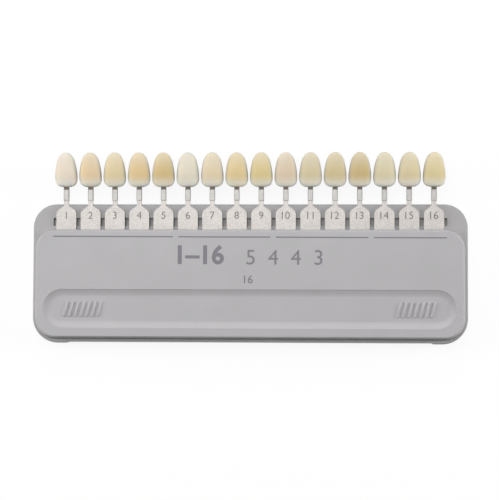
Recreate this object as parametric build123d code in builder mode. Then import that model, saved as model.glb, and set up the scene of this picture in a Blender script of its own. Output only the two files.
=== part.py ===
from build123d import *
from math import cos, pi, sin
import os

# Dental shade guide: a flat grey holder that lies on its back, with sixteen sample teeth on
# pull-out metal carriers along its upper edge.
# Millimetres. X runs along the holder, Y from the grip towards the teeth, Z from back to front.

# Holder
holder_width = 187.0
holder_height = 59.8
shell_thickness = 7.0
top_corner_radius = 10.0
bottom_corner_radius = 11.0
back_edge_chamfer = 1.2
front_edge_chamfer = 0.4
floor_thickness = 2.0
shell_wall = 3.4
tray_corner_radius = 5.0
shelf_depth = 16.5
shell_rib_thickness = 1.8
shell_rib_bays = 4
foot_width = 4.0
foot_height = 0.4

# Front cover
cover_thickness = 4.0
cover_side_inset = 1.05
cover_bottom_inset = 1.7
cover_top_setback = 10.6
cover_draft = 12.0
cover_corner_radius = 9.0
cover_edge_chamfer = 0.5
cover_wall = 2.6
cover_face_thickness = 2.2
lip_depth = 3.0

# Grip recess in the cover
grip_end_margin = 5.2
grip_height = 16.4
grip_bottom_margin = 6.6
grip_depth = 0.9
grip_lip = 0.2
grip_slope = 72.0

# Groove across the shelf, behind the carriers
groove_end_margin = 8.7
groove_corner_radius = 0.6
groove_height = 3.5
groove_depth = 1.6
groove_setback = 5.9

# Pegs that hold the two halves together
peg_diameter = 3.2
peg_length = 3.6
peg_tip_clearance = 0.4
boss_diameter = 6.8
boss_clearance = 0.05
peg_end_margin = 27.5
peg_row_height = 9.0

# Sample tabs: the row fills the holder between two end margins, which sets the pitch
tab_count = 16
tab_row_margin = 14.45
blade_gap = 1.8
blade_thickness = 1.0
blade_hidden_length = 19.0
blade_shoulder_drop = 0.7
blade_shoulder_slope = 2.4
blade_shoulder_radius = 2.4
blade_end_chamfer = 0.8
slide_clearance = 0.05
side_clearance = 0.2
strip_width = 2.1
strip_flare = 0.9
sleeve_width = 2.3
sleeve_thickness = 1.7
sleeve_edge_chamfer = 0.45
sleeve_start = 1.6
sleeve_end = 6.2

# Pins between the sleeves and the teeth
pin_width = 1.1
pin_thickness = 0.8
pin_fit = 0.03
pin_depth_in_sleeve = 3.4
pin_depth_in_tooth = 3.6
socket_end_clearance = 0.2
collar_width = 2.2
collar_thickness = 1.5
collar_length = 1.1

# Teeth: each station gives the share of the height, then the half width and how far the
# front and the back lie in front of the pin's middle
tooth_height = 14.8
tooth_gap = 0.6
tooth_front_rise = 4.3
tooth_section_sides = 20
tooth_section_roundness = 1.75
tooth_stations = (
    (0.000, 0.46, 0.30, -0.19),
    (0.050, 0.74, 0.42, -0.26),
    (0.120, 0.93, 0.55, -0.31),
    (0.270, 1.00, 0.75, -0.32),
    (0.450, 0.95, 0.90, -0.24),
    (0.630, 0.86, 0.98, -0.11),
    (0.800, 0.74, 1.00, 0.06),
    (0.900, 0.57, 0.96, 0.21),
    (0.960, 0.38, 0.88, 0.35),
    (1.000, 0.18, 0.76, 0.49),
)

# Levels and lines that the pieces share
tab_row_width = holder_width - 2 * tab_row_margin
tab_pitch = tab_row_width / (tab_count - 1)
blade_width = tab_pitch - blade_gap
tooth_half_width = (tab_pitch - tooth_gap) / 2
grip_length = holder_width - 2 * grip_end_margin
groove_length = holder_width - 2 * groove_end_margin
shell_rib_spacing = (holder_width - 2 * shell_wall) / shell_rib_bays
total_height = holder_height + sleeve_end + collar_length + tooth_height
bottom_y = -total_height / 2
shell_top_y = bottom_y + holder_height
plate_z = shell_thickness
cover_bottom_y = bottom_y + cover_bottom_inset
cover_top_y = shell_top_y - cover_top_setback
shelf_y = shell_top_y - shelf_depth
blade_z = plate_z + slide_clearance
slot_width = blade_width + 2 * side_clearance
slot_height = blade_thickness + 2 * slide_clearance
blade_end_y = cover_top_y - blade_hidden_length
blade_top_y = shell_top_y - blade_shoulder_drop
sleeve_start_y = shell_top_y + sleeve_start
sleeve_end_y = shell_top_y + sleeve_end
tooth_base_y = sleeve_end_y + collar_length
pin_z = blade_z + sleeve_thickness / 2
guide_rib_thickness = tab_pitch - slot_width
pocket_depth = cover_thickness - cover_face_thickness

tab_places = [(number + 1, number * tab_pitch - tab_row_width / 2) for number in range(tab_count)]
peg_x = holder_width / 2 - peg_end_margin
peg_rows = (bottom_y + peg_row_height, blade_end_y - boss_clearance - boss_diameter / 2)
peg_places = [(side * peg_x, row) for row in peg_rows for side in (-1, 1)]


def section_plane(x, y):
    """A plane across a tab, with its own Y upwards and its middle on the pin."""
    return Plane(origin=(x, y, pin_z), x_dir=(1, 0, 0), z_dir=(0, -1, 0))


def make_back_shell():
    """The tray that carries everything, with the shelf that the carriers lie on."""
    with BuildPart() as shell:
        with BuildSketch() as outline:
            with Locations((0, bottom_y + holder_height / 2)):
                Rectangle(holder_width, holder_height)
            fillet(outline.vertices().group_by(Axis.Y)[-1], top_corner_radius)
            fillet(outline.vertices().group_by(Axis.Y)[0], bottom_corner_radius)
        extrude(amount=shell_thickness)
        chamfer(shell.faces().sort_by(Axis.Z)[0].edges(), back_edge_chamfer)
        chamfer(shell.faces().sort_by(Axis.Z)[-1].edges(), front_edge_chamfer)

        # Open tray under the cover
        tray_height = shelf_y - bottom_y - shell_wall
        tray_y = bottom_y + shell_wall + tray_height / 2
        with BuildSketch(Plane.XY.offset(plate_z)):
            with Locations((0, tray_y)):
                RectangleRounded(holder_width - 2 * shell_wall, tray_height, tray_corner_radius)
        extrude(amount=floor_thickness - shell_thickness, mode=Mode.SUBTRACT)

        # Upright ribs and bosses that stand up to the cover
        rib_height = shell_thickness - floor_thickness
        with BuildSketch(Plane.XY.offset(floor_thickness)):
            with Locations((0, tray_y)):
                with GridLocations(shell_rib_spacing, 1, shell_rib_bays - 1, 1):
                    Rectangle(shell_rib_thickness, tray_height)
            with Locations(*peg_places):
                Circle(boss_diameter / 2)
        extrude(amount=rib_height)
        with Locations(*[(x, y, plate_z) for x, y in peg_places]):
            Hole(peg_diameter / 2, depth=peg_length + peg_tip_clearance)

        # Groove across the shelf
        with BuildSketch(Plane.XY.offset(plate_z)):
            with Locations((0, shell_top_y - groove_setback - groove_height / 2)):
                RectangleRounded(groove_length, groove_height, groove_corner_radius)
        extrude(amount=-groove_depth, mode=Mode.SUBTRACT)

        # The lower edge is relieved between its two feet
        relief_width = holder_width - 2 * (bottom_corner_radius + foot_width)
        with Locations((0, bottom_y + foot_height / 2, plate_z / 2)):
            Box(relief_width, foot_height, plate_z, mode=Mode.SUBTRACT)
    shell.part.label = "back_shell"
    return shell.part


def make_front_cover():
    """The face of the holder, with the grip recess and the slots that the blades slide in."""
    cover_width = holder_width - 2 * cover_side_inset
    cover_height = cover_top_y - cover_bottom_y
    middle_y = (cover_top_y + cover_bottom_y) / 2
    face_z = plate_z + cover_thickness
    with BuildPart() as cover:
        with BuildSketch(Plane.XY.offset(plate_z)):
            with Locations((0, middle_y)):
                RectangleRounded(cover_width, cover_height, cover_corner_radius)
        extrude(amount=cover_thickness, taper=cover_draft)
        chamfer(cover.faces().sort_by(Axis.Z)[-1].edges(), cover_edge_chamfer)

        # Grip recess: a low lip, then a floor that falls away gently
        grip_y = bottom_y + grip_bottom_margin + grip_height / 2
        with BuildSketch(Plane.XY.offset(face_z)):
            with Locations((0, grip_y)):
                SlotOverall(grip_length, grip_height)
        extrude(amount=-grip_lip, mode=Mode.SUBTRACT)
        with BuildSketch(Plane.XY.offset(face_z - grip_lip)):
            with Locations((0, grip_y)):
                SlotOverall(grip_length, grip_height)
        extrude(amount=grip_lip - grip_depth, taper=grip_slope, mode=Mode.SUBTRACT)

        # Hollow underside
        with BuildSketch(Plane.XY.offset(plate_z)):
            with Locations((0, middle_y - (lip_depth - cover_wall) / 2)):
                Rectangle(cover_width - 2 * cover_wall, cover_height - cover_wall - lip_depth)
        extrude(amount=pocket_depth, mode=Mode.SUBTRACT)

        # Guide ribs between the blades
        rib_length = cover_top_y - lip_depth - blade_end_y
        with BuildSketch(Plane.XY.offset(plate_z)):
            with Locations((0, cover_top_y - lip_depth - rib_length / 2)):
                with GridLocations(tab_pitch, 1, tab_count + 1, 1):
                    Rectangle(guide_rib_thickness, rib_length)
        extrude(amount=pocket_depth)

        # One slot for each blade through the upper wall
        with BuildSketch(Plane.XY.offset(plate_z)):
            with Locations((0, cover_top_y - lip_depth / 2)):
                with GridLocations(tab_pitch, 1, tab_count, 1):
                    Rectangle(slot_width, lip_depth)
        extrude(amount=slot_height, mode=Mode.SUBTRACT)

        # Pegs that press into the bosses of the back shell
        with BuildSketch(Plane.XY.offset(plate_z + pocket_depth)):
            with Locations(*peg_places):
                Circle(peg_diameter / 2)
        extrude(amount=-pocket_depth - peg_length)
    cover.part.label = "front_cover"
    return cover.part


def make_carrier(number, x):
    """One stamped metal carrier: blade, strip and the sleeve that grips the pin."""
    shoulder_y = blade_top_y - blade_shoulder_slope
    right_side = [
        (blade_width / 2, blade_end_y),
        (blade_width / 2, shoulder_y),
        (strip_width / 2, blade_top_y),
        (strip_width / 2, sleeve_end_y),
    ]
    left_side = [(-across, y) for across, y in reversed(right_side)]
    with BuildPart() as carrier:
        with BuildSketch(Plane.XY.offset(blade_z)) as outline:
            with BuildLine():
                Polyline([(x + across, y) for across, y in right_side + left_side], close=True)
            make_face()
            rows = outline.vertices().group_by(Axis.Y)
            chamfer(rows[0], blade_end_chamfer)
            fillet(rows[1], blade_shoulder_radius)
            neck_corners = outline.vertices().filter_by_position(Axis.Y, blade_top_y, blade_top_y)
            fillet(neck_corners, strip_flare)
        extrude(amount=blade_thickness)

        # Thicker sleeve with its front edges taken off
        with BuildSketch(section_plane(x, sleeve_end_y)) as sleeve:
            Rectangle(sleeve_width, sleeve_thickness)
            chamfer(sleeve.vertices().group_by(Axis.Z)[-1], sleeve_edge_chamfer)
        extrude(amount=sleeve_end_y - sleeve_start_y)

        # Socket for the pin
        socket_depth = pin_depth_in_sleeve + socket_end_clearance
        with Locations((x, sleeve_end_y - socket_depth / 2, pin_z)):
            Box(pin_width + 2 * pin_fit, socket_depth, pin_thickness + 2 * pin_fit, mode=Mode.SUBTRACT)
    carrier.part.label = f"carrier_{number:02d}"
    return carrier.part


def make_pin(number, x):
    """The dark pin, with its collar between the sleeve and the tooth."""
    with BuildPart() as pin:
        with Locations((x, sleeve_end_y + collar_length / 2, pin_z)):
            Box(collar_width, collar_length, collar_thickness)
        pin_length = pin_depth_in_sleeve + collar_length + pin_depth_in_tooth
        with Locations((x, sleeve_end_y - pin_depth_in_sleeve + pin_length / 2, pin_z)):
            Box(pin_width, pin_length, pin_thickness)
    pin.part.label = f"pin_{number:02d}"
    return pin.part


def tooth_section(half_width, front, back):
    """Corners of one cross section: the polygon of fixed side directions that wraps an oval.

    The sides of neighbouring sections are parallel, so the facets between them are flat.
    """
    middle = (front + back) / 2
    half_depth = (front - back) / 2
    step = 2 * pi / tooth_section_sides

    def reach(side):
        across = abs(half_width * cos(side * step)) ** tooth_section_roundness
        out = abs(half_depth * sin(side * step)) ** tooth_section_roundness
        return (across + out) ** (1 / tooth_section_roundness)

    corners = []
    for side in range(tooth_section_sides):
        this, after = side * step, (side + 1) * step
        across = (reach(side) * sin(after) - reach(side + 1) * sin(this)) / sin(step)
        out = (reach(side + 1) * cos(this) - reach(side) * cos(after)) / sin(step)
        corners.append((across, middle + out))
    return corners


def make_tooth(number, x):
    """One sample tooth: a crowned form from the biting edge at the pin up to the rounded neck."""
    surface_points = []
    for share, width, front, back in tooth_stations:
        y = tooth_base_y + share * tooth_height
        section = tooth_section(
            width * tooth_half_width, front * tooth_front_rise, back * tooth_front_rise
        )
        surface_points += [(x + across, y, pin_z + out) for across, out in section]
    with BuildPart() as tooth:
        ConvexPolyhedron(surface_points)
        socket_depth = pin_depth_in_tooth + socket_end_clearance
        with Locations((x, tooth_base_y + socket_depth / 2, pin_z)):
            Box(pin_width + 2 * pin_fit, socket_depth, pin_thickness + 2 * pin_fit, mode=Mode.SUBTRACT)
    tooth.part.label = f"tooth_{number:02d}"
    return tooth.part


pieces = [make_back_shell(), make_front_cover()]
for tab_number, tab_x in tab_places:
    pieces.append(make_carrier(tab_number, tab_x))
    pieces.append(make_pin(tab_number, tab_x))
    pieces.append(make_tooth(tab_number, tab_x))

os.makedirs("parts", exist_ok=True)
for piece in pieces:
    export_step(piece, f"parts/{piece.label}.step")
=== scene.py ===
import math

import bmesh
import bpy
from mathutils import Matrix, Vector


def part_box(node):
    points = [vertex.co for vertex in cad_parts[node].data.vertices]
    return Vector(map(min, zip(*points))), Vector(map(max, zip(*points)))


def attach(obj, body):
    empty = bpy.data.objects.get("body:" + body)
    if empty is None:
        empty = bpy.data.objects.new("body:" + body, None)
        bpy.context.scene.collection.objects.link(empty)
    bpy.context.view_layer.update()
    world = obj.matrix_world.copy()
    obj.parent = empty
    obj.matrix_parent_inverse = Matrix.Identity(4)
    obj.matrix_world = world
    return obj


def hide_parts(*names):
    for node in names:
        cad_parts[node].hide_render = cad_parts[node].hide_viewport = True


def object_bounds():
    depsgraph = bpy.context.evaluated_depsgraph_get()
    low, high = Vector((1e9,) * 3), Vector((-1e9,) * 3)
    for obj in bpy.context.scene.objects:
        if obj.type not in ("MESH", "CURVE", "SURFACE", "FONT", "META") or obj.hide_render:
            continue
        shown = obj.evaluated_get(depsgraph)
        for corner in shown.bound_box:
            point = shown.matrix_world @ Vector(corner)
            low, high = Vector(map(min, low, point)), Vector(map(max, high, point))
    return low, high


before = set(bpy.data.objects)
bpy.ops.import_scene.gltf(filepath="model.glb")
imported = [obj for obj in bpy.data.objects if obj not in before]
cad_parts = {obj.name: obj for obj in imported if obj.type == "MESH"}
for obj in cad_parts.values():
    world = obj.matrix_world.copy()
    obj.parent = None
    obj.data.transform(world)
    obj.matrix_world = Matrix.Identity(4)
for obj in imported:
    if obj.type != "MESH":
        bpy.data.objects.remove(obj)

bl_info = {
    "name": "Dental Shade Guide Looks",
    "version": (1, 0, 0),
    "blender": (4, 5, 0),
    "location": "3D View > Sidebar > Shade Guide",
    "description": "Dresses the shade guide's frame with its finished pieces and materials",
    "category": "Object",
}

# The frame is in metres, and sizes here are named in millimetres times mm
mm = 0.001
cad_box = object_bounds()

# Sizes of the frame that the added pieces follow, and how near two coordinates count as the same
recess_depth = 0.9 * mm
cover_thickness = 4.0 * mm
blade_thickness = 1.0 * mm
near = 0.01 * mm

# How the sixteen sample teeth are grouped, and the shade of each tooth's body
group_sizes = (5, 4, 4, 3)
body_shades = (
    "#F4E9D8", "#EFD9B3", "#EBDBB1", "#ECD3A1", "#E2CB95",
    "#F0E8D5", "#EFDFBF", "#ECD7A3", "#E9D7A1",
    "#E9D8BE", "#E1D5B1", "#DECFA4", "#D7C28E",
    "#E6DBB9", "#E5D7AF", "#E7DAAA",
)
tab_numbers = range(1, len(body_shades) + 1)

# Tooth outline from the biting edge to the neck: share of the height, share of the half width,
# and how far front and back lie in front of the pin's middle, as shares of the front's rise
tooth_sections = (
    (0.000, 0.46, 0.30, -0.19),
    (0.050, 0.74, 0.42, -0.26),
    (0.120, 0.93, 0.55, -0.31),
    (0.270, 1.00, 0.75, -0.32),
    (0.450, 0.95, 0.90, -0.24),
    (0.630, 0.86, 0.98, -0.11),
    (0.800, 0.74, 1.00, 0.06),
    (0.900, 0.57, 0.96, 0.21),
    (0.960, 0.38, 0.88, 0.35),
    (1.000, 0.18, 0.76, 0.49),
)
tooth_front_rise = 4.3 * mm
section_sides = 24
# A section is a superellipse with this exponent
section_squareness = 2.33
# The smoothing draws the cage in by this share
smoothing_shrink = 0.015


def linear(hex_colour):
    """The linear RGBA value of an sRGB hex colour."""
    channels = [int(hex_colour[start:start + 2], 16) / 255 for start in (1, 3, 5)]
    return [c / 12.92 if c <= 0.04045 else ((c + 0.055) / 1.055) ** 2.4 for c in channels] + [1.0]


def shaded(colour, factor):
    """A linear RGBA colour made darker or lighter."""
    return [min(channel * factor, 1.0) for channel in colour[:3]] + [1.0]


def middle_of(node):
    """The middle of a node's box."""
    low, high = (Vector(corner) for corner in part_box(node))
    return (low + high) / 2


class HolderSettings(bpy.types.PropertyGroup):
    """Sizes and colours of the two mouldings and what is printed on them."""

    # The shell's grey is a darker copy of the cover's plastic: painted shade on the shelf among
    # the tabs
    shell_plastic: bpy.props.FloatVectorProperty(
        name="Shell Plastic", description="Colour of the back shell's plastic", subtype="COLOR",
        size=4, default=linear("#A9A7A8"), min=0.0, max=1.0,
    )
    cover_plastic: bpy.props.FloatVectorProperty(
        name="Cover Plastic", description="Colour of the front cover's plastic", subtype="COLOR",
        size=4, default=linear("#B4B2B4"), min=0.0, max=1.0,
    )
    ink: bpy.props.FloatVectorProperty(
        name="Ink", description="Colour of the printed lines and numbers", subtype="COLOR", size=4,
        default=linear("#7B797F"), min=0.0, max=1.0,
    )
    edge_round: bpy.props.FloatProperty(
        name="Edge Round", description="Rounding of the mouldings' edges", unit="LENGTH",
        default=0.26 * mm, min=0.0,
    )
    recess_round: bpy.props.FloatProperty(
        name="Recess Round", description="Rounding where the grip recess's slope meets its floor",
        unit="LENGTH", default=0.9 * mm, min=0.0,
    )
    line_height: bpy.props.FloatProperty(
        name="Line Height", description="Width of the printed group lines", unit="LENGTH",
        default=0.55 * mm, min=0.0,
    )
    line_gap: bpy.props.FloatProperty(
        name="Line Gap", description="Gap between two group lines", unit="LENGTH",
        default=2.4 * mm, min=0.0,
    )
    range_size: bpy.props.FloatProperty(
        name="Range Size", description="Height of the bold range of the samples' numbers",
        unit="LENGTH", default=8.4 * mm, min=0.0,
    )
    group_size: bpy.props.FloatProperty(
        name="Group Size", description="Height of the numbers of samples in each group",
        unit="LENGTH", default=6.4 * mm, min=0.0,
    )
    count_size: bpy.props.FloatProperty(
        name="Count Size", description="Height of the small number of samples", unit="LENGTH",
        default=3.5 * mm, min=0.0,
    )
    print_turn: bpy.props.FloatProperty(
        name="Print Turn", description="How far the print sits askew", unit="ROTATION",
        default=math.radians(0.17),
    )


class CarrierSettings(bpy.types.PropertyGroup):
    """Sizes and colours of the stamped carriers and their pins."""

    steel: bpy.props.FloatVectorProperty(
        name="Steel", description="Colour of the blasted steel", subtype="COLOR", size=4,
        default=linear("#AEAAA6"), min=0.0, max=1.0,
    )
    # The same steel as the blades in a darker copy: the blades' lighter steel is painted light on
    # the flat blades
    sleeve: bpy.props.FloatVectorProperty(
        name="Sleeve", description="Colour of the rolled sleeve's steel", subtype="COLOR", size=4,
        default=linear("#A5A3A0"), min=0.0, max=1.0,
    )
    # Darker than the steel: painted shade at the bottom of the engraved numbers
    engraving: bpy.props.FloatVectorProperty(
        name="Engraving", description="Colour at the bottom of the engraved numbers",
        subtype="COLOR", size=4, default=linear("#857C75"), min=0.0, max=1.0,
    )
    # Dark oxidised metal, and also painted shade: the pins sit in the shade under the teeth's
    # biting edges
    pin: bpy.props.FloatVectorProperty(
        name="Pin", description="Colour of the oxidised pins", subtype="COLOR", size=4,
        default=linear("#665F57"), min=0.0, max=1.0,
    )
    number_size: bpy.props.FloatProperty(
        name="Number Size", description="Height of the engraved numbers", unit="LENGTH",
        default=3.1 * mm, min=0.0,
    )
    number_depth: bpy.props.FloatProperty(
        name="Number Depth", description="Depth of the engraved numbers", unit="LENGTH",
        default=0.12 * mm, min=0.0,
    )


class ToothSettings(bpy.types.PropertyGroup):
    """What all the sample teeth share."""

    # The margins turn to a dark grey: partly the clear outer layer, partly painted shade at the
    # sides of the tooth
    enamel: bpy.props.FloatVectorProperty(
        name="Enamel", description="Colour that the clear outer layer takes at the margins",
        subtype="COLOR", size=4, default=linear("#C2BCAE"), min=0.0, max=1.0,
    )
    neck: bpy.props.FloatVectorProperty(
        name="Neck", description="Colour that the body fades to at the neck",
        subtype="COLOR", size=4, default=linear("#DAD6CC"), min=0.0, max=1.0,
    )
    # Nearly white: partly the translucent biting edge, partly painted light on the lower face,
    # which turns away from the lamps
    biting_edge: bpy.props.FloatVectorProperty(
        name="Biting Edge", description="Colour of the translucent biting edge",
        subtype="COLOR", size=4, default=linear("#FBF6EB"), min=0.0, max=1.0,
    )


class StageSettings(bpy.types.PropertyGroup):
    """Camera and light."""

    camera_distance: bpy.props.FloatProperty(
        name="Camera Distance", description="From the camera to the tabs' plane", unit="LENGTH",
        default=560 * mm, min=0.0,
    )
    camera_yaw: bpy.props.FloatProperty(
        name="Camera Yaw", description="How far the camera stands to the right", unit="ROTATION",
        default=math.radians(2.7),
    )
    camera_tilt: bpy.props.FloatProperty(
        name="Camera Tilt", description="How far the camera stands below the middle",
        unit="ROTATION", default=math.radians(2.3),
    )
    camera_roll: bpy.props.FloatProperty(
        name="Camera Roll", description="How far the camera is turned about its own axis",
        unit="ROTATION", default=math.radians(0.2),
    )
    top_power: bpy.props.FloatProperty(
        name="Top Power", description="Power of the soft light above the object", unit="POWER",
        default=5.15, min=0.0,
    )
    side_power: bpy.props.FloatProperty(
        name="Side Power", description="Power of each of the two low soft lights at the sides",
        unit="POWER", default=7.6, min=0.0,
    )
    far_power: bpy.props.FloatProperty(
        name="Far Power", description="Power of the low soft light beyond the teeth",
        unit="POWER", default=1.8, min=0.0,
    )
    sky: bpy.props.FloatProperty(
        name="Sky", description="Strength of the light from straight above", default=0.4, min=0.0,
    )


def add_node(tree, kind, settings=(), inputs=(), links=()):
    """Adds a node with its settings, its input values and what its inputs are linked from."""
    node = tree.nodes.new(kind)
    for name, value in dict(settings).items():
        setattr(node, name, value)
    for socket, value in dict(inputs).items():
        node.inputs[socket].default_value = value
    for socket, source in dict(links).items():
        tree.links.new(source, node.inputs[socket])
    return node


def new_material(name):
    """A material with an empty node tree."""
    material = bpy.data.materials.new(name)
    material.use_nodes = True
    material.node_tree.nodes.clear()
    return material, material.node_tree


def moulded_plastic(name, colour):
    """Moulded ABS with a fine spark-eroded grain: a soft sheen and faintly cloudy grey."""
    material, tree = new_material(name)
    place = add_node(tree, "ShaderNodeTexCoord").outputs["Object"]
    cloud_size, grain_size = 14 * mm, 0.6 * mm
    cloud = add_node(
        tree, "ShaderNodeTexNoise", inputs={"Scale": 1 / cloud_size, "Detail": 3.0},
        links={"Vector": place},
    )
    grain = add_node(
        tree, "ShaderNodeTexNoise", inputs={"Scale": 1 / grain_size, "Detail": 2.0},
        links={"Vector": place},
    )
    tint = add_node(
        tree, "ShaderNodeMix", {"data_type": "RGBA"},
        {6: shaded(colour, 0.94), 7: shaded(colour, 1.04)}, {0: cloud.outputs["Fac"]},
    )
    speckle = add_node(
        tree, "ShaderNodeMix", {"data_type": "RGBA", "blend_type": "MULTIPLY"}, {0: 0.05},
        {6: tint.outputs[2], 7: grain.outputs["Fac"]},
    )
    bump = add_node(
        tree, "ShaderNodeBump", inputs={"Strength": 0.12, "Distance": 0.03 * mm},
        links={"Height": grain.outputs["Fac"]},
    )
    surface = add_node(
        tree, "ShaderNodeBsdfPrincipled", inputs={"Roughness": 0.3, "IOR": 1.5},
        links={"Base Color": speckle.outputs[2], "Normal": bump.outputs["Normal"]},
    )
    add_node(tree, "ShaderNodeOutputMaterial", links={"Surface": surface.outputs[0]})
    return material


def blasted_steel(name, colour):
    """Stainless steel blasted with fine beads: bright and frosty, with a pebbled grain."""
    material, tree = new_material(name)
    place = add_node(tree, "ShaderNodeTexCoord").outputs["Object"]
    bead_dent, rolled_patch = 0.36 * mm, 3.5 * mm
    dents = add_node(
        tree, "ShaderNodeTexNoise", inputs={"Scale": 1 / bead_dent, "Detail": 1.0},
        links={"Vector": place},
    )
    patches = add_node(
        tree, "ShaderNodeTexNoise", inputs={"Scale": 1 / rolled_patch, "Detail": 2.0},
        links={"Vector": place},
    )
    both = add_node(
        tree, "ShaderNodeMix", {"data_type": "FLOAT"}, {0: 0.2},
        {2: dents.outputs["Fac"], 3: patches.outputs["Fac"]},
    )
    tint = add_node(
        tree, "ShaderNodeMix", {"data_type": "RGBA"},
        {6: shaded(colour, 0.5), 7: shaded(colour, 1.46)}, {0: both.outputs[0]},
    )
    bump = add_node(
        tree, "ShaderNodeBump", inputs={"Strength": 0.12, "Distance": 0.03 * mm},
        links={"Height": dents.outputs["Fac"]},
    )
    surface = add_node(
        tree, "ShaderNodeBsdfPrincipled", inputs={"Metallic": 1.0, "Roughness": 0.44},
        links={"Base Color": tint.outputs[2], "Normal": bump.outputs["Normal"]},
    )
    add_node(tree, "ShaderNodeOutputMaterial", links={"Surface": surface.outputs[0]})
    return material


def oxidised_metal(name, colour, roughness):
    """Dark, dull brownish grey metal with uneven patches: the pins' heat-darkened metal, and
    painted shade at the bottom of the engraved numbers. On the pins the darkness also stands for
    the shade under the teeth.
    """
    material, tree = new_material(name)
    place = add_node(tree, "ShaderNodeTexCoord").outputs["Object"]
    patch_size = 0.8 * mm
    patches = add_node(
        tree, "ShaderNodeTexNoise", inputs={"Scale": 1 / patch_size, "Detail": 3.0},
        links={"Vector": place},
    )
    tint = add_node(
        tree, "ShaderNodeMix", {"data_type": "RGBA"},
        {6: shaded(colour, 0.75), 7: list(colour)}, {0: patches.outputs["Fac"]},
    )
    surface = add_node(
        tree, "ShaderNodeBsdfPrincipled", inputs={"Metallic": 0.6, "Roughness": roughness},
        links={"Base Color": tint.outputs[2]},
    )
    add_node(tree, "ShaderNodeOutputMaterial", links={"Surface": surface.outputs[0]})
    return material


def pad_print(colour):
    """Pad-printed ink: a flat, slightly uneven film that is a little duller than the plastic."""
    material, tree = new_material("pad_printed_ink")
    place = add_node(tree, "ShaderNodeTexCoord").outputs["Object"]
    film_patch = 1.2 * mm
    film = add_node(
        tree, "ShaderNodeTexNoise", inputs={"Scale": 1 / film_patch, "Detail": 2.0},
        links={"Vector": place},
    )
    tint = add_node(
        tree, "ShaderNodeMix", {"data_type": "RGBA"},
        {6: list(colour), 7: shaded(colour, 1.12)}, {0: film.outputs["Fac"]},
    )
    surface = add_node(
        tree, "ShaderNodeBsdfPrincipled", inputs={"Roughness": 0.6, "IOR": 1.5},
        links={"Base Color": tint.outputs[2]},
    )
    add_node(tree, "ShaderNodeOutputMaterial", links={"Surface": surface.outputs[0]})
    return material


def glazed_ceramic(name, shade, enamel, neck_shade, biting_edge):
    """Layered and glazed dental ceramic: an opaque body colour under clearer enamel.

    The body shows in the middle of the face. Towards the sides, the neck and the biting edge the
    enamel is thicker, so the tooth turns paler and greyer. The greyer sides are darkened further
    as painted shade, and the biting edge is brightened to nearly white as painted light on the
    lower face, which turns away from the lamps. Light scatters under its surface.
    """
    material, tree = new_material(name)
    across = add_node(tree, "ShaderNodeAttribute", {"attribute_name": "across"}).outputs["Fac"]
    height = add_node(tree, "ShaderNodeAttribute", {"attribute_name": "height"}).outputs["Fac"]
    place = add_node(tree, "ShaderNodeTexCoord").outputs["Object"]
    layer_patch, growth_line = 2.2 * mm, 0.5 * mm
    patches = add_node(
        tree, "ShaderNodeTexNoise", inputs={"Scale": 1 / layer_patch, "Detail": 2.0},
        links={"Vector": place},
    )
    # Towards the sides the colour goes to the darker grey: partly the outer layer, partly painted
    # shade
    sides = add_node(
        tree, "ShaderNodeMapRange", {"interpolation_type": "SMOOTHSTEP"},
        {"From Min": 0.60, "From Max": 1.02, "To Max": 0.75}, {"Value": across},
    )
    neck = add_node(
        tree, "ShaderNodeMapRange", {"interpolation_type": "SMOOTHSTEP"},
        {"From Min": 0.38, "From Max": 1.0, "To Max": 0.5}, {"Value": height},
    )
    # Towards the biting edge the colour goes nearly white: partly the clear edge, partly painted
    # light on the lower face
    edge = add_node(
        tree, "ShaderNodeMapRange", {"interpolation_type": "SMOOTHSTEP"},
        {"From Min": 0.36, "From Max": 0.02, "To Max": 0.8}, {"Value": height},
    )
    body = add_node(
        tree, "ShaderNodeMix", {"data_type": "RGBA"},
        {6: shaded(linear(shade), 0.96), 7: linear(shade)}, {0: patches.outputs["Fac"]},
    )
    faded = add_node(
        tree, "ShaderNodeMix", {"data_type": "RGBA"}, {7: list(neck_shade)},
        {0: neck.outputs["Result"], 6: body.outputs[2]},
    )
    veiled_and_shaded = add_node(
        tree, "ShaderNodeMix", {"data_type": "RGBA"}, {7: list(enamel)},
        {0: sides.outputs["Result"], 6: faded.outputs[2]},
    )
    colour = add_node(
        tree, "ShaderNodeMix", {"data_type": "RGBA"}, {7: list(biting_edge)},
        {0: edge.outputs["Result"], 6: veiled_and_shaded.outputs[2]},
    )
    lines = add_node(
        tree, "ShaderNodeTexNoise", inputs={"Scale": 1 / growth_line, "Detail": 1.0},
        links={"Vector": place},
    )
    bump = add_node(
        tree, "ShaderNodeBump", inputs={"Strength": 0.08, "Distance": 0.04 * mm},
        links={"Height": lines.outputs["Fac"]},
    )
    surface = add_node(
        tree, "ShaderNodeBsdfPrincipled",
        inputs={
            "Roughness": 0.44, "IOR": 1.52, "Subsurface Weight": 0.7,
            "Subsurface Radius": (1.0, 0.8, 0.6), "Subsurface Scale": 2.6 * mm,
        },
        links={"Base Color": colour.outputs[2], "Normal": bump.outputs["Normal"]},
    )
    add_node(tree, "ShaderNodeOutputMaterial", links={"Surface": surface.outputs[0]})
    return material


def seen_white(tree):
    """One for what the camera sees directly, in a reflection or through glass, and else nought."""
    path = add_node(tree, "ShaderNodeLightPath")
    seen = add_node(
        tree, "ShaderNodeMath", {"operation": "MAXIMUM"},
        links={0: path.outputs["Is Camera Ray"], 1: path.outputs["Is Glossy Ray"]},
    )
    shown = add_node(
        tree, "ShaderNodeMath", {"operation": "MAXIMUM"},
        links={0: seen.outputs[0], 1: path.outputs["Is Transmission Ray"]},
    )
    return shown.outputs[0]


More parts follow.
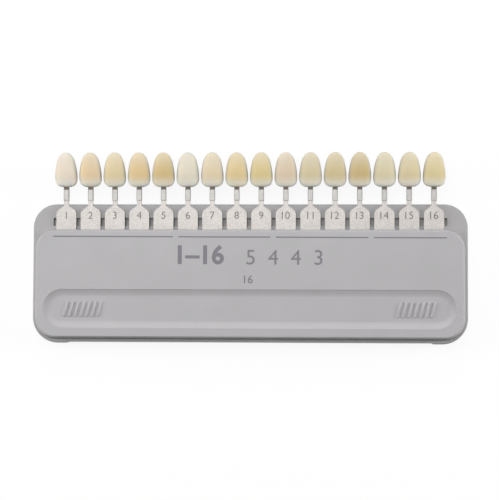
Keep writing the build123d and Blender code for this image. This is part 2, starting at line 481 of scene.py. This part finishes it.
def studio_floor():
    """Pale studio paper: white where the camera sees it, with the object's soft shadow."""
    material, tree = new_material("studio_paper")
    glow = add_node(
        tree, "ShaderNodeMath", {"operation": "MULTIPLY"}, {1: 0.9}, {0: seen_white(tree)},
    )
    paper = add_node(tree, "ShaderNodeBsdfDiffuse", inputs={"Color": linear("#5C5C5C")})
    white = add_node(tree, "ShaderNodeEmission", links={"Strength": glow.outputs[0]})
    mixed = add_node(
        tree, "ShaderNodeAddShader", links={0: paper.outputs[0], 1: white.outputs[0]},
    )
    add_node(tree, "ShaderNodeOutputMaterial", links={"Surface": mixed.outputs[0]})
    return material


def new_piece(name, mesh_or_bmesh, materials):
    """An object at the origin from a mesh or a bmesh, with its materials."""
    if isinstance(mesh_or_bmesh, bmesh.types.BMesh):
        mesh = bpy.data.meshes.new(name)
        mesh_or_bmesh.to_mesh(mesh)
        mesh_or_bmesh.free()
    else:
        mesh = mesh_or_bmesh
    piece = bpy.data.objects.new(name, mesh)
    bpy.context.collection.objects.link(piece)
    mesh.materials.clear()
    for material in materials:
        mesh.materials.append(material)
    return piece


def shade_by_angle(bm, degrees=34):
    """Smooth faces, with edges sharper than an angle kept crisp."""
    for face in bm.faces:
        face.smooth = True
    for edge in bm.edges:
        edge.smooth = len(edge.link_faces) == 2 and edge.calc_face_angle(0) < math.radians(degrees)


def rectangle(bm, low_x, high_x, low_y, high_y, z):
    """One upright rectangle face, as a start for an outline."""
    size = Matrix.Diagonal((high_x - low_x, high_y - low_y, 1, 1))
    place = Matrix.Translation(((low_x + high_x) / 2, (low_y + high_y) / 2, z))
    made = bmesh.ops.create_grid(bm, x_segments=1, y_segments=1, size=0.5, matrix=place @ size)
    return made["verts"]


def block(bm, low, high):
    """A box between two corners."""
    low, high = Vector(low), Vector(high)
    size = Matrix.Diagonal((*(high - low), 1))
    made = bmesh.ops.create_cube(bm, size=1.0, matrix=Matrix.Translation((low + high) / 2) @ size)
    return made["verts"]


def round_corners(bm, corners, radius, segments):
    """Rounds corners of a flat face."""
    bmesh.ops.bevel(
        bm, geom=corners, offset=radius, offset_type="OFFSET", segments=segments, profile=0.5,
        affect="VERTICES", material=-1,
    )


def round_edges(bm, edges, radius, segments):
    """Rounds edges of a solid."""
    bmesh.ops.bevel(
        bm, geom=edges, offset=radius, offset_type="OFFSET", segments=segments, profile=0.5,
        affect="EDGES", material=-1, clamp_overlap=True,
    )


def moulding_copy(node):
    """A bmesh copy of a moulded node: its loose triangles merged into whole faces."""
    bm = bmesh.new()
    bm.from_mesh(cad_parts[node].data)
    bmesh.ops.remove_doubles(bm, verts=bm.verts, dist=0.002 * mm)
    bmesh.ops.dissolve_limit(
        bm, angle_limit=math.radians(0.6), verts=bm.verts, edges=bm.edges,
        use_dissolve_boundaries=False,
    )
    return bm


def sharp_edges(bm, above, degrees=25):
    """Edges of a moulding that are sharper than an angle and lie above a level."""
    return [
        edge for edge in bm.edges
        if len(edge.link_faces) == 2
        and abs(edge.calc_face_angle(0)) > math.radians(degrees)
        and min(vertex.co.z for vertex in edge.verts) > above
    ]


def even_normals(piece):
    """Lets the large flat faces set the shading, so that their small roundings don't bend it."""
    modifier = piece.modifiers.new("even_normals", "WEIGHTED_NORMAL")
    modifier.keep_sharp = True
    modifier.weight = 100


def number_mesh(text, height, thickness, bolder):
    """A flat number as a closed mesh, centred on the origin, its strokes widened by a share."""
    same_point = 0.0001
    curve = bpy.data.curves.new("number", "FONT")
    curve.body = text
    curve.align_x = "CENTER"
    curve.resolution_u = 6
    curve.extrude = 0.5
    curve.offset = bolder
    holder = bpy.data.objects.new("number", curve)
    bpy.context.collection.objects.link(holder)
    bpy.context.view_layer.update()
    mesh = bpy.data.meshes.new_from_object(holder)
    bpy.data.objects.remove(holder)
    bpy.data.curves.remove(curve)
    # Front, back and sides come apart, so they are joined into a closed body
    bm = bmesh.new()
    bm.from_mesh(mesh)
    bmesh.ops.remove_doubles(bm, verts=bm.verts, dist=same_point)
    bmesh.ops.recalc_face_normals(bm, faces=bm.faces[:])
    bm.to_mesh(mesh)
    bm.free()
    low = Vector([min(vertex.co[axis] for vertex in mesh.vertices) for axis in range(3)])
    high = Vector([max(vertex.co[axis] for vertex in mesh.vertices) for axis in range(3)])
    scale = height / (high.y - low.y)
    size = Matrix.Diagonal((scale, scale, thickness / (high.z - low.z), 1))
    mesh.transform(size @ Matrix.Translation(-(low + high) / 2))
    return mesh


class SHADEGUIDE_OT_stage(bpy.types.Operator):
    """Adds the floor, the light and the camera"""

    bl_idname = "shadeguide.stage"
    bl_label = "Add Stage"

    def execute(self, context):
        settings = context.scene.shadeguide_stage
        scene = context.scene
        scene.view_settings.view_transform = "Standard"

        # Floor
        bm = bmesh.new()
        reach = 1.6
        rectangle(bm, -reach, reach, -reach, reach, cad_box[0][2] - 0.02 * mm)
        floor = new_piece("studio_floor", bm, [studio_floor()])

        # Camera, square to the row and slightly to the right of and below its middle
        blade_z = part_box("carrier_08")[1][2]
        target = Vector((0.3 * mm, -0.9 * mm, blade_z))
        yaw, tilt = settings.camera_yaw, settings.camera_tilt
        away = Vector(
            (math.sin(yaw) * math.cos(tilt), -math.sin(tilt), math.cos(yaw) * math.cos(tilt))
        )
        image_width_px = 499
        pixel_size = 0.4285 * mm
        data = bpy.data.cameras.new("camera")
        data.sensor_fit = "HORIZONTAL"
        data.lens = data.sensor_width * settings.camera_distance / (image_width_px * pixel_size)
        camera = bpy.data.objects.new("camera", data)
        context.collection.objects.link(camera)
        right = Vector((0, 1, 0)).cross(away).normalized()
        turn = Matrix((right, away.cross(right), away)).transposed()
        turn = turn @ Matrix.Rotation(settings.camera_roll, 3, "Z")
        camera.location = target + away * settings.camera_distance
        camera.rotation_euler = turn.to_euler()
        scene.camera = camera

        # Soft lights
        for name, power, size, place in (
            ("top_light", settings.top_power, 0.9, Vector((-0.15, 0.42, 1.08))),
            ("far_light", settings.far_power, 0.5, Vector((0.0, 1.05, 0.5))),
            ("left_light", settings.side_power, 0.35, Vector((-1.0, 0.12, 0.3))),
            ("right_light", settings.side_power, 0.35, Vector((1.0, 0.12, 0.3))),
        ):
            light = bpy.data.lights.new(name, "AREA")
            light.energy = power
            light.size = size
            lamp = bpy.data.objects.new(name, light)
            context.collection.objects.link(lamp)
            lamp.location = place
            lamp.rotation_euler = (-place).to_track_quat("-Z", "Y").to_euler()
            # The low side lights only brighten the edges; seen as glare they would blank the
            # cover from the far side
            lamp.visible_glossy = not name.startswith(("left", "right"))

        # Light from all round, seen as white by the camera and in reflections
        world = bpy.data.worlds.new("studio")
        world.use_nodes = True
        tree = world.node_tree
        tree.nodes.clear()
        scene.world = world
        # The light falls off towards the horizon and towards the near side, as in a room whose
        # white ceiling is lit from its far end
        direction = add_node(tree, "ShaderNodeTexCoord").outputs["Generated"]
        parts = add_node(tree, "ShaderNodeSeparateXYZ", links={"Vector": direction})
        ceiling = add_node(
            tree, "ShaderNodeMapRange", {"interpolation_type": "SMOOTHSTEP"},
            {"From Min": 0.0, "From Max": 0.8, "To Min": 0.1, "To Max": 1.0},
            {"Value": parts.outputs["Z"]},
        )
        near_sky, far_sky = 0.09 * settings.sky, settings.sky
        far_end = add_node(
            tree, "ShaderNodeMapRange", {"interpolation_type": "SMOOTHSTEP"},
            {"From Min": -0.7, "From Max": 0.4, "To Min": near_sky, "To Max": far_sky},
            {"Value": parts.outputs["Y"]},
        )
        strength = add_node(
            tree, "ShaderNodeMath", {"operation": "MULTIPLY"},
            links={0: ceiling.outputs["Result"], 1: far_end.outputs["Result"]},
        )
        lit = add_node(tree, "ShaderNodeBackground", links={"Strength": strength.outputs[0]})
        white = add_node(tree, "ShaderNodeBackground", inputs={"Strength": 1.0})
        for background in (lit, white):
            background.inputs["Color"].default_value = (1.0, 1.0, 1.0, 1.0)
        mixed = add_node(
            tree, "ShaderNodeMixShader",
            links={0: seen_white(tree), 1: lit.outputs[0], 2: white.outputs[0]},
        )
        add_node(tree, "ShaderNodeOutputWorld", links={"Surface": mixed.outputs[0]})
        return {"FINISHED"}


class SHADEGUIDE_OT_holder(bpy.types.Operator):
    """Makes the two mouldings of the holder with their rounded edges"""

    bl_idname = "shadeguide.holder"
    bl_label = "Make Holder"

    def execute(self, context):
        settings = context.scene.shadeguide_holder
        for node, slot, colour in (
            ("back_shell", "grey_shell", settings.shell_plastic),
            ("front_cover", "grey_cover", settings.cover_plastic),
        ):
            plastic = moulded_plastic("moulded_abs_" + node.split("_")[1], colour)
            bm = moulding_copy(node)
            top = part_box(node)[1][2]
            if node == "front_cover":
                # The grip recess's slope runs out softly into its floor
                recess_floor = top - recess_depth
                floor_edges = [
                    edge for edge in bm.edges
                    if all(abs(vertex.co.z - recess_floor) < 2 * near for vertex in edge.verts)
                    and len(edge.link_faces) == 2 and edge.calc_face_angle(0) > math.radians(5)
                ]
                if not floor_edges:
                    raise RuntimeError("the grip recess's floor isn't where it is looked for")
                round_edges(bm, floor_edges, settings.recess_round, 5)
                outside = sharp_edges(bm, top - cover_thickness - 10 * near)
                round_edges(bm, outside, settings.edge_round, 3)
            else:
                below_all = -1 * mm
                round_edges(bm, sharp_edges(bm, below_all), settings.edge_round * 0.6, 2)
            shade_by_angle(bm)
            moulding = new_piece(node + "_moulding", bm, [plastic])
            even_normals(moulding)
            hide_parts(node)
            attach(moulding, "holder")
        return {"FINISHED"}


class SHADEGUIDE_OT_print(bpy.types.Operator):
    """Prints the group lines and plain numbers on the cover"""

    bl_idname = "shadeguide.print"
    bl_label = "Print Cover"

    def execute(self, context):
        settings = context.scene.shadeguide_holder
        ink = pad_print(settings.ink)
        face_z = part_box("front_cover")[1][2]
        holder_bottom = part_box("back_shell")[0][1]
        film = 0.03 * mm

        # One line over each group of tabs
        pitch = middle_of("carrier_02").x - middle_of("carrier_01").x
        line_y = holder_bottom + 45.5 * mm
        # The whole print sits very slightly askew on the cover, and its lines run over a little
        # less than the row's width
        askew = Matrix.Rotation(-settings.print_turn, 4, "Z")
        narrower = Matrix.Scale(0.99, 4, (1, 0, 0))
        end_reach = 0.75 * mm
        half = settings.line_height / 2
        bm = bmesh.new()
        first = 1
        for size in group_sizes:
            last = first + size - 1
            low_x = middle_of(f"carrier_{first:02d}").x - pitch / 2
            high_x = middle_of(f"carrier_{last:02d}").x + pitch / 2
            low_x += settings.line_gap / 2 if first > 1 else -end_reach
            high_x += -settings.line_gap / 2 if last < len(body_shades) else end_reach
            block(bm, (low_x, line_y - half, face_z), (high_x, line_y + half, face_z + film))
            first = last + 1
        bmesh.ops.transform(bm, matrix=askew @ narrower, verts=bm.verts)
        lines = new_piece("group_lines", bm, [ink])
        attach(lines, "holder")

        # Plain numbers: the samples' range, how many are in each group, and how many in all
        for name, text, size, bolder, across, height in (
            ("range_number", "1–16", settings.range_size, 0.03, -20.4 * mm, 37.9 * mm),
            ("group_numbers", "5  4  4  3", settings.group_size, 0.0, 15.3 * mm, 36.9 * mm),
            ("count_number", "16", settings.count_size, 0.01, 0.0, 27.4 * mm),
        ):
            mesh = number_mesh(text, size, film, bolder)
            place = Matrix.Translation((across, holder_bottom + height, face_z + film / 2))
            mesh.transform(askew @ place)
            number = new_piece(name, mesh, [ink])
            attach(number, "holder")
        return {"FINISHED"}


class SHADEGUIDE_OT_grip_ribs(bpy.types.Operator):
    """Makes the raised, slanted ribs at both ends of the grip recess"""

    bl_idname = "shadeguide.grip_ribs"
    bl_label = "Make Grip Ribs"

    def execute(self, context):
        plastic = bpy.data.materials["moulded_abs_cover"]
        holder_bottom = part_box("back_shell")[0][1]
        floor_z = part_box("front_cover")[1][2] - recess_depth
        rib_count, rib_pitch, rib_width = 7, 2.45 * mm, 1.15 * mm
        rib_length, rib_height, sunk, top_round = 6.6 * mm, 0.42 * mm, 0.2 * mm, 0.2 * mm
        group_across, group_height = 71.3 * mm, 14.55 * mm
        lean = Matrix.Identity(4)
        lean[0][1] = math.tan(math.radians(14))
        for side, name in ((-1, "left"), (1, "right")):
            bm = bmesh.new()
            for rib in range(rib_count):
                made_before = set(bm.verts)
                verts = block(
                    bm,
                    (-rib_width / 2, -rib_length / 2, -sunk),
                    (rib_width / 2, rib_length / 2, rib_height),
                )
                upright = [
                    edge for edge in bm.edges
                    if all(vertex in verts for vertex in edge.verts)
                    and abs(edge.verts[0].co.z - edge.verts[1].co.z) > rib_height
                ]
                round_edges(bm, upright, rib_width * 0.42, 4)
                fresh = [vertex for vertex in bm.verts if vertex not in made_before]
                rib_x = side * group_across + (rib - (rib_count - 1) / 2) * rib_pitch
                place = Matrix.Translation((rib_x, holder_bottom + group_height, floor_z))
                bmesh.ops.transform(bm, matrix=place @ lean, verts=fresh)
            round_edges(bm, sharp_edges(bm, floor_z + rib_height / 2), top_round, 3)
            shade_by_angle(bm, 50)
            ribs = new_piece(f"grip_ribs_{name}", bm, [plastic])
            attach(ribs, "holder")
        return {"FINISHED"}


class SHADEGUIDE_OT_carriers(bpy.types.Operator):
    """Makes the stamped carriers with their engraved numbers"""

    bl_idname = "shadeguide.carriers"
    bl_label = "Make Carriers"

    def execute(self, context):
        settings = context.scene.shadeguide_carrier
        steel = blasted_steel("blasted_stainless_steel", settings.steel)
        # Two shades of one steel: the lighter blades are painted light, the sleeves keep the
        # darker copy
        sleeve_steel = blasted_steel("blasted_sleeve_steel", settings.sleeve)
        # The dark metal at the bottom of the numbers is painted shade in the grooves
        engraved = oxidised_metal("engraving_painted_shade", settings.engraving, 0.6)
        finishes = [steel, engraved, sleeve_steel]
        shell_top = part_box("back_shell")[1][1]
        blade_top, sleeve_start = shell_top - 0.7 * mm, shell_top + 1.6 * mm
        number_drop = 4.1 * mm
        for number in tab_numbers:
            node = f"carrier_{number:02d}"
            low, high = (Vector(corner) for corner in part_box(node))
            x = (low.x + high.x) / 2
            blank = self.blank(x, low, high, blade_top)
            carrier = new_piece(f"steel_carrier_{number:02d}", blank, finishes)
            middle = (x, blade_top - number_drop, low.z + blade_thickness)
            self.engrave(context, carrier, number, middle)
            self.add_sleeve(carrier, x, sleeve_start, low, high)
            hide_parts(node)
            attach(carrier, f"tab_{number:02d}")
        return {"FINISHED"}

    def blank(self, x, low, high, blade_top):
        """Blade and strip of one carrier."""
        half_strip, flare, end_cut = 2.1 * mm / 2, 0.9 * mm, 0.8 * mm
        shoulder_radius, shoulder_drop = 2.4 * mm, 2.4 * mm
        into_sleeve, edge_round = 0.3 * mm, 0.12 * mm
        bm = bmesh.new()
        rectangle(bm, low.x, high.x, low.y, blade_top, low.z)
        top_edge = max(bm.edges, key=lambda edge: edge.verts[0].co.y + edge.verts[1].co.y)
        bmesh.ops.subdivide_edges(bm, edges=[top_edge], cuts=2)
        on_top = sorted(
            (vertex for vertex in bm.verts if abs(vertex.co.y - blade_top) < near),
            key=lambda vertex: vertex.co.x,
        )
        on_top[1].co.x = x - half_strip
        on_top[2].co.x = x + half_strip
        bmesh.ops.translate(bm, verts=[on_top[0], on_top[3]], vec=(0, -shoulder_drop, 0))
        neck_edge = next(
            edge for edge in bm.edges if on_top[1] in edge.verts and on_top[2] in edge.verts
        )
        grown = bmesh.ops.extrude_edge_only(bm, edges=[neck_edge])["geom"]
        grown_verts = [item for item in grown if isinstance(item, bmesh.types.BMVert)]
        bmesh.ops.translate(bm, verts=grown_verts, vec=(0, high.y - blade_top - into_sleeve, 0))
        bmesh.ops.dissolve_faces(bm, faces=bm.faces[:])
        ends = [v for v in bm.verts if abs(v.co.y - low.y) < near]
        round_corners(bm, ends, end_cut, 1)
        # A corner's rounding starts this many radiuses from it, at the angle the shoulders turn
        turn = math.atan2((high.x - low.x) / 2 - half_strip, shoulder_drop)
        start = math.tan(turn / 2)
        outer = [v for v in bm.verts if abs(v.co.y - (blade_top - shoulder_drop)) < near]
        round_corners(bm, outer, shoulder_radius * start, 8)
        inner = [v for v in bm.verts if abs(v.co.y - blade_top) < near]
        round_corners(bm, inner, flare * start, 5)
        grown = bmesh.ops.extrude_face_region(bm, geom=bm.faces[:])["geom"]
        raised = [item for item in grown if isinstance(item, bmesh.types.BMVert)]
        bmesh.ops.translate(bm, verts=raised, vec=(0, 0, blade_thickness))
        bmesh.ops.recalc_face_normals(bm, faces=bm.faces[:])
        round_edges(bm, sharp_edges(bm, low.z + blade_thickness / 2, 60), edge_round, 2)
        return bm

    def engrave(self, context, carrier, number, middle):
        """Cuts a carrier's number into its blade."""
        settings = context.scene.shadeguide_carrier
        mesh = number_mesh(str(number), settings.number_size, 2 * settings.number_depth, -0.004)
        mesh.transform(Matrix.Translation(middle))
        # The cut faces take the dark metal, which paints shade at the bottom of the numbers
        cutter = new_piece("number_cutter", mesh, [carrier.data.materials[1]])
        cut = carrier.modifiers.new("engraving", "BOOLEAN")
        cut.operation = "DIFFERENCE"
        cut.solver = "EXACT"
        cut.use_self = True
        cut.material_mode = "TRANSFER"
        cut.object = cutter
        context.view_layer.update()
        result = bpy.data.meshes.new_from_object(
            carrier.evaluated_get(context.evaluated_depsgraph_get())
        )
        was_wide, is_wide = (
            max((v.co.x for v in mesh.vertices), default=0)
            - min((v.co.x for v in mesh.vertices), default=0)
            for mesh in (carrier.data, result)
        )
        cut_through = is_wide < was_wide - near
        if cut_through or len(result.polygons) <= len(carrier.data.polygons):
            raise RuntimeError(f"number {number} wasn't engraved")
        carrier.modifiers.remove(cut)
        carrier.data = result
        bpy.data.objects.remove(cutter)

    def add_sleeve(self, carrier, x, start, low, high):
        """Adds the rolled sleeve with its long front edges rounded."""
        half, edge_round = 2.3 * mm / 2, 0.3 * mm
        bm = bmesh.new()
        bm.from_mesh(carrier.data)
        verts = block(bm, (x - half, start, low.z), (x + half, high.y, high.z))
        front = [
            edge for edge in {edge for vertex in verts for edge in vertex.link_edges}
            if all(vertex.co.z > high.z - near for vertex in edge.verts)
            and abs(edge.verts[0].co.x - edge.verts[1].co.x) < near
        ]
        round_edges(bm, front, edge_round, 4)
        for face in bm.faces:
            if min(vertex.co.y for vertex in face.verts) > start - near:
                face.material_index = 2
        shade_by_angle(bm)
        bm.to_mesh(carrier.data)
        bm.free()
        even_normals(carrier)


class SHADEGUIDE_OT_pins(bpy.types.Operator):
    """Gives the dark pins between sleeves and teeth their finish, whose darkness is partly painted
    shade under the teeth
    """

    bl_idname = "shadeguide.pins"
    bl_label = "Finish Pins"

    def execute(self, context):
        settings = context.scene.shadeguide_carrier
        # The pins' dark colour is partly their oxidised metal, partly painted shade under the
        # teeth
        metal = oxidised_metal("oxidised_pin_metal_and_shade", settings.pin, 0.5)
        for number in tab_numbers:
            node = f"pin_{number:02d}"
            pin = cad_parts[node]
            for slot in pin.material_slots:
                slot.material = metal
        return {"FINISHED"}


class SHADEGUIDE_OT_teeth(bpy.types.Operator):
    """Makes the sample teeth in their shades"""

    bl_idname = "shadeguide.teeth"
    bl_label = "Make Teeth"

    def execute(self, context):
        settings = context.scene.shadeguide_tooth
        for number, shade in zip(tab_numbers, body_shades):
            node = f"tooth_{number:02d}"
            ceramic = glazed_ceramic(
                f"glazed_ceramic_{number:02d}", shade, settings.enamel, settings.neck,
                settings.biting_edge,
            )
            tooth = new_piece(f"ceramic_tooth_{number:02d}", self.crown(number), [ceramic])
            smooth = tooth.modifiers.new("smooth", "SUBSURF")
            smooth.levels = 2
            smooth.render_levels = 2
            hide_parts(node)
            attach(tooth, f"tab_{number:02d}")
        return {"FINISHED"}

    def crown(self, number):
        """The cage of one tooth: a ring drawn out through its sections, with both ends closed."""
        low, high = (Vector(corner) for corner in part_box(f"tooth_{number:02d}"))
        pin_z = middle_of(f"pin_{number:02d}").z
        half_width, height = (high.x - low.x) / 2 * (1 + smoothing_shrink), high.y - low.y
        x = (low.x + high.x) / 2
        bm = bmesh.new()
        across = bm.verts.layers.float.new("across")
        up = bm.verts.layers.float.new("height")
        ring = bmesh.ops.create_circle(
            bm, segments=section_sides, radius=1.0, matrix=Matrix.Rotation(math.pi / 2, 4, "X")
        )["verts"]
        for vertex in ring:
            for axis in (0, 2):
                side = vertex.co[axis]
                vertex.co[axis] = math.copysign(abs(side) ** (2 / section_squareness), side)
        edges = bm.edges[:]
        last = Matrix.Identity(4)
        for place, (share, width, front, back) in enumerate(tooth_sections):
            depth = tooth_front_rise * (front - back) / 2
            middle = pin_z + tooth_front_rise * (front + back) / 2
            section = Matrix.Translation((x, low.y + share * height, middle)) @ Matrix.Diagonal(
                (width * half_width, 1, depth, 1)
            )
            if place:
                grown = bmesh.ops.extrude_edge_only(bm, edges=edges)["geom"]
                ring = [item for item in grown if isinstance(item, bmesh.types.BMVert)]
                edges = [item for item in grown if isinstance(item, bmesh.types.BMEdge)]
            bmesh.ops.transform(bm, matrix=section @ last.inverted(), verts=ring)
            last = section
            for vertex in ring:
                vertex[across] = abs(vertex.co.x - x) / (width * half_width)
                vertex[up] = share
        open_edges = [edge for edge in bm.edges if edge.is_boundary]
        bmesh.ops.holes_fill(bm, edges=open_edges, sides=section_sides)
        bmesh.ops.recalc_face_normals(bm, faces=bm.faces[:])
        for face in bm.faces:
            face.smooth = True
        return bm


class SHADEGUIDE_PT_panel(bpy.types.Panel):
    """Lists the steps that dress the shade guide"""

    bl_idname = "SHADEGUIDE_PT_panel"
    bl_label = "Shade Guide"
    bl_space_type = "VIEW_3D"
    bl_region_type = "UI"
    bl_category = "Shade Guide"

    def draw(self, context):
        for operator in operators:
            self.layout.operator(operator.bl_idname)
        for group in setting_groups:
            settings = getattr(context.scene, group)
            for name in settings.__annotations__:
                self.layout.prop(settings, name)


operators = (
    SHADEGUIDE_OT_stage,
    SHADEGUIDE_OT_holder,
    SHADEGUIDE_OT_print,
    SHADEGUIDE_OT_grip_ribs,
    SHADEGUIDE_OT_carriers,
    SHADEGUIDE_OT_pins,
    SHADEGUIDE_OT_teeth,
)
setting_groups = {
    "shadeguide_holder": HolderSettings,
    "shadeguide_carrier": CarrierSettings,
    "shadeguide_tooth": ToothSettings,
    "shadeguide_stage": StageSettings,
}


def register():
    for name, group in setting_groups.items():
        bpy.utils.register_class(group)
        setattr(bpy.types.Scene, name, bpy.props.PointerProperty(type=group))
    for operator in operators:
        bpy.utils.register_class(operator)
    bpy.utils.register_class(SHADEGUIDE_PT_panel)


def unregister():
    bpy.utils.unregister_class(SHADEGUIDE_PT_panel)
    for operator in reversed(operators):
        bpy.utils.unregister_class(operator)
    for name, group in setting_groups.items():
        delattr(bpy.types.Scene, name)
        bpy.utils.unregister_class(group)


def main():
    register()
    bpy.ops.shadeguide.stage()
    bpy.ops.shadeguide.holder()
    bpy.ops.shadeguide.print()
    bpy.ops.shadeguide.grip_ribs()
    bpy.ops.shadeguide.carriers()
    bpy.ops.shadeguide.pins()
    bpy.ops.shadeguide.teeth()


if __name__ == "__main__":
    main()
